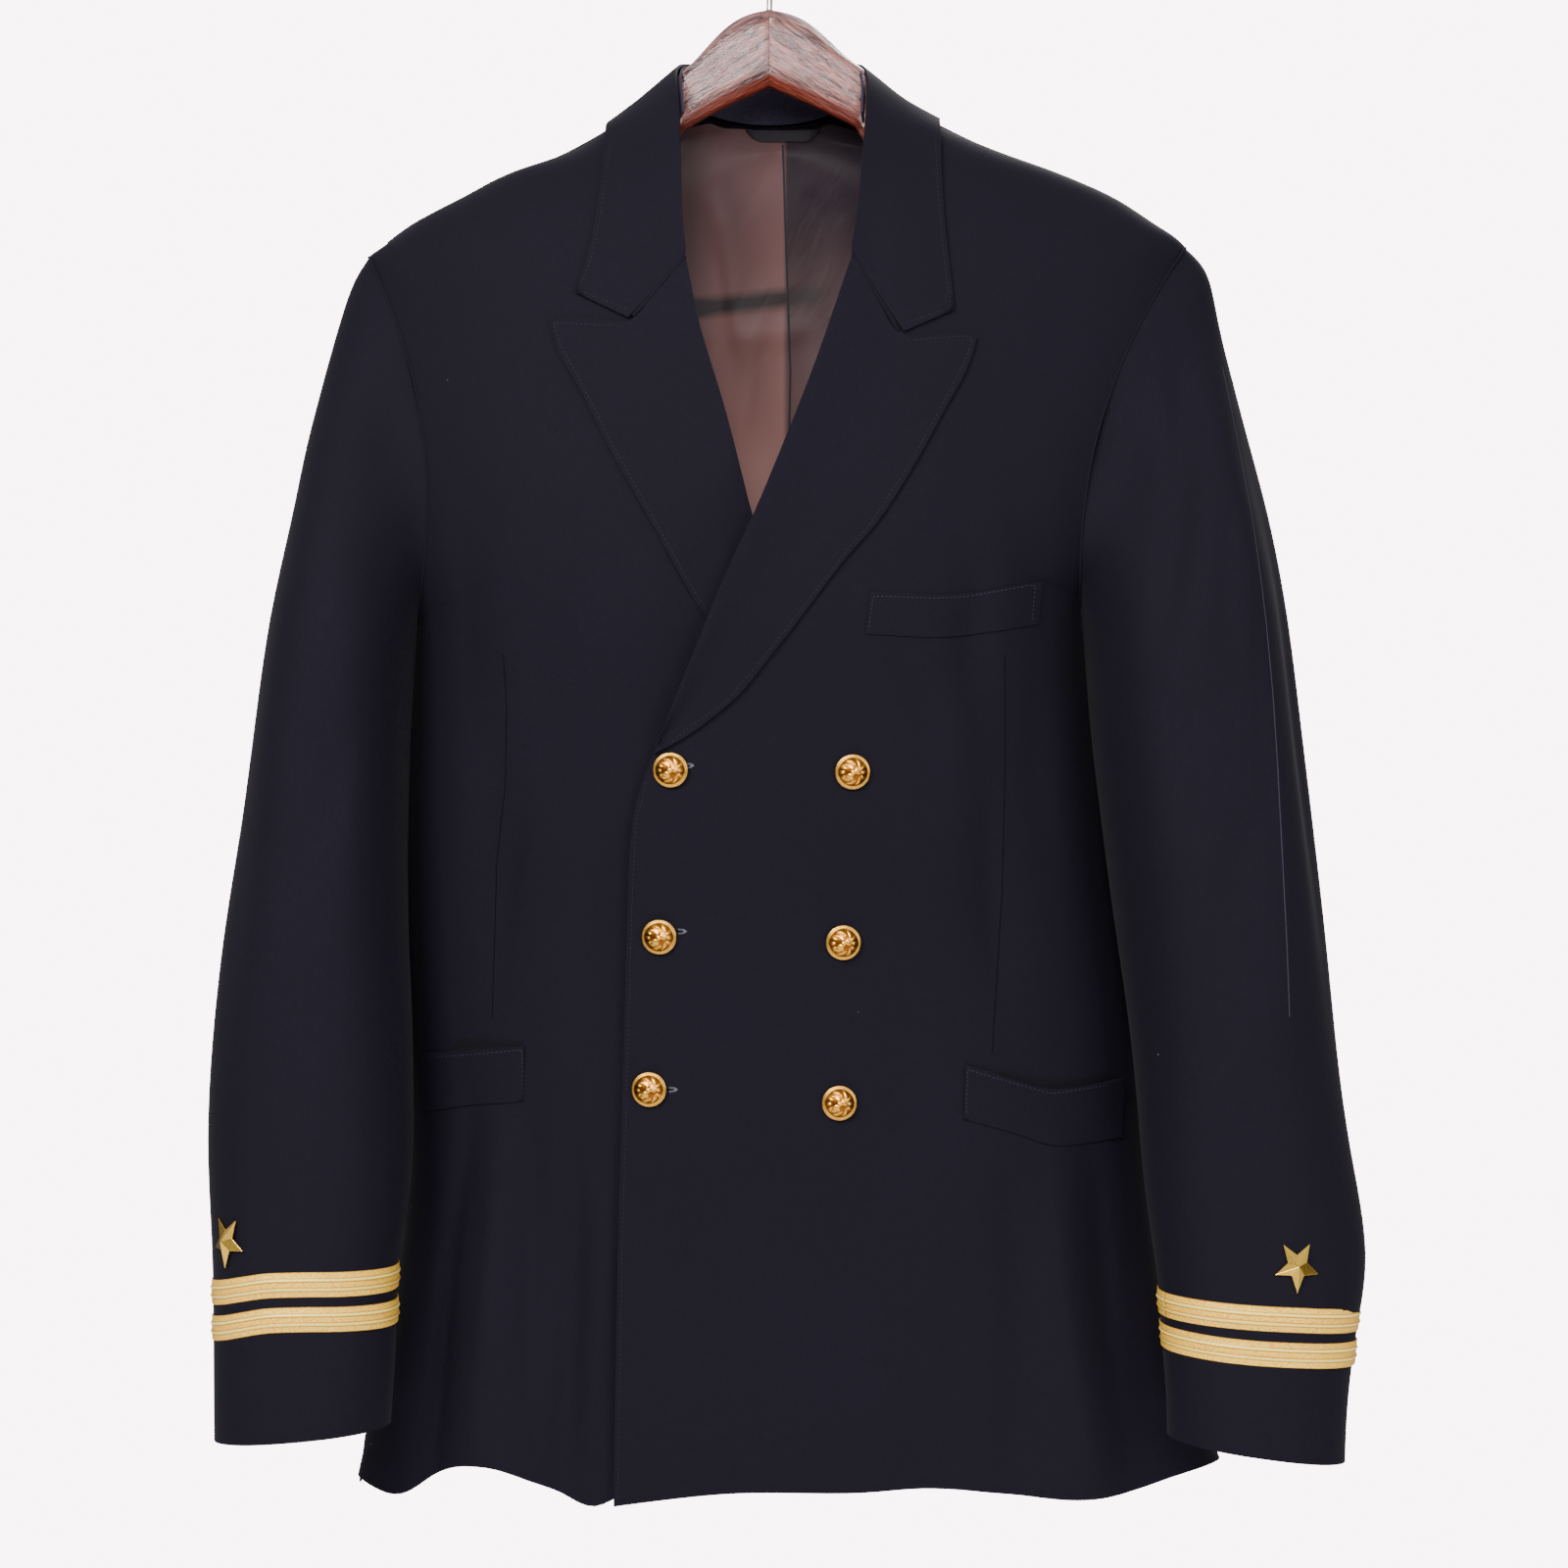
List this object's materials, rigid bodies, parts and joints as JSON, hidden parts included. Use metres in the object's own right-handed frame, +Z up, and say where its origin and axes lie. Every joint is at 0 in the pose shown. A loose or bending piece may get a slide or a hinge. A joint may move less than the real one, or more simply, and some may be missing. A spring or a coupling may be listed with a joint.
{
  "type": "naval service dress jacket on a wooden hanger",
  "caption": "Double breasted navy wool dress jacket with peaked lapels, gilt domed buttons and gold cuff lace, hanging on a wooden hanger with a steel hook.",
  "frame": {"origin": "inside of the hook's crown, where a rod carries the hanger", "axes": "+Z up, -Y the way the jacket's front faces, +X the wearer's left"},
  "size_m": [0.6088, 0.1907, 0.8669],
  "materials": {
    "navy_wool": "very dark navy fine wool with a low sheen",
    "satin_lining": "brown mauve satin lining",
    "gold_lace": "woven gold lace with bright ridges",
    "gold_star": "faceted gold",
    "gilt_brass": "polished gilt",
    "mahogany": "dark red brown wood under glossy lacquer",
    "hook_steel": "bright steel rod",
    "loop_tape": "dark woven tape"
  },
  "bodies": {
    "root": {"front_left": "navy_wool", "front_right": "navy_wool", "back": "navy_wool", "lapel_left": "navy_wool", "lapel_right": "navy_wool", "collar": "navy_wool", "collar_stand": "navy_wool", "back_lining": "satin_lining", "top_sleeve_left": "navy_wool", "under_sleeve_left": "navy_wool", "top_sleeve_right": "navy_wool", "under_sleeve_right": "navy_wool", "breast_welt": "navy_wool", "pocket_welt_left": "navy_wool", "pocket_welt_right": "navy_wool", "button_a1": "gilt_brass", "button_a2": "gilt_brass", "button_a3": "gilt_brass", "button_b1": "gilt_brass", "button_b2": "gilt_brass", "button_b3": "gilt_brass", "lace_left_upper": "gold_lace", "lace_left_lower": "gold_lace", "lace_right_upper": "gold_lace", "lace_right_lower": "gold_lace", "star_left": "gold_star", "star_right": "gold_star", "hanger": "mahogany", "hanger_hook": "hook_steel", "hanger_loop": "loop_tape"}
  },
  "joints": []
}
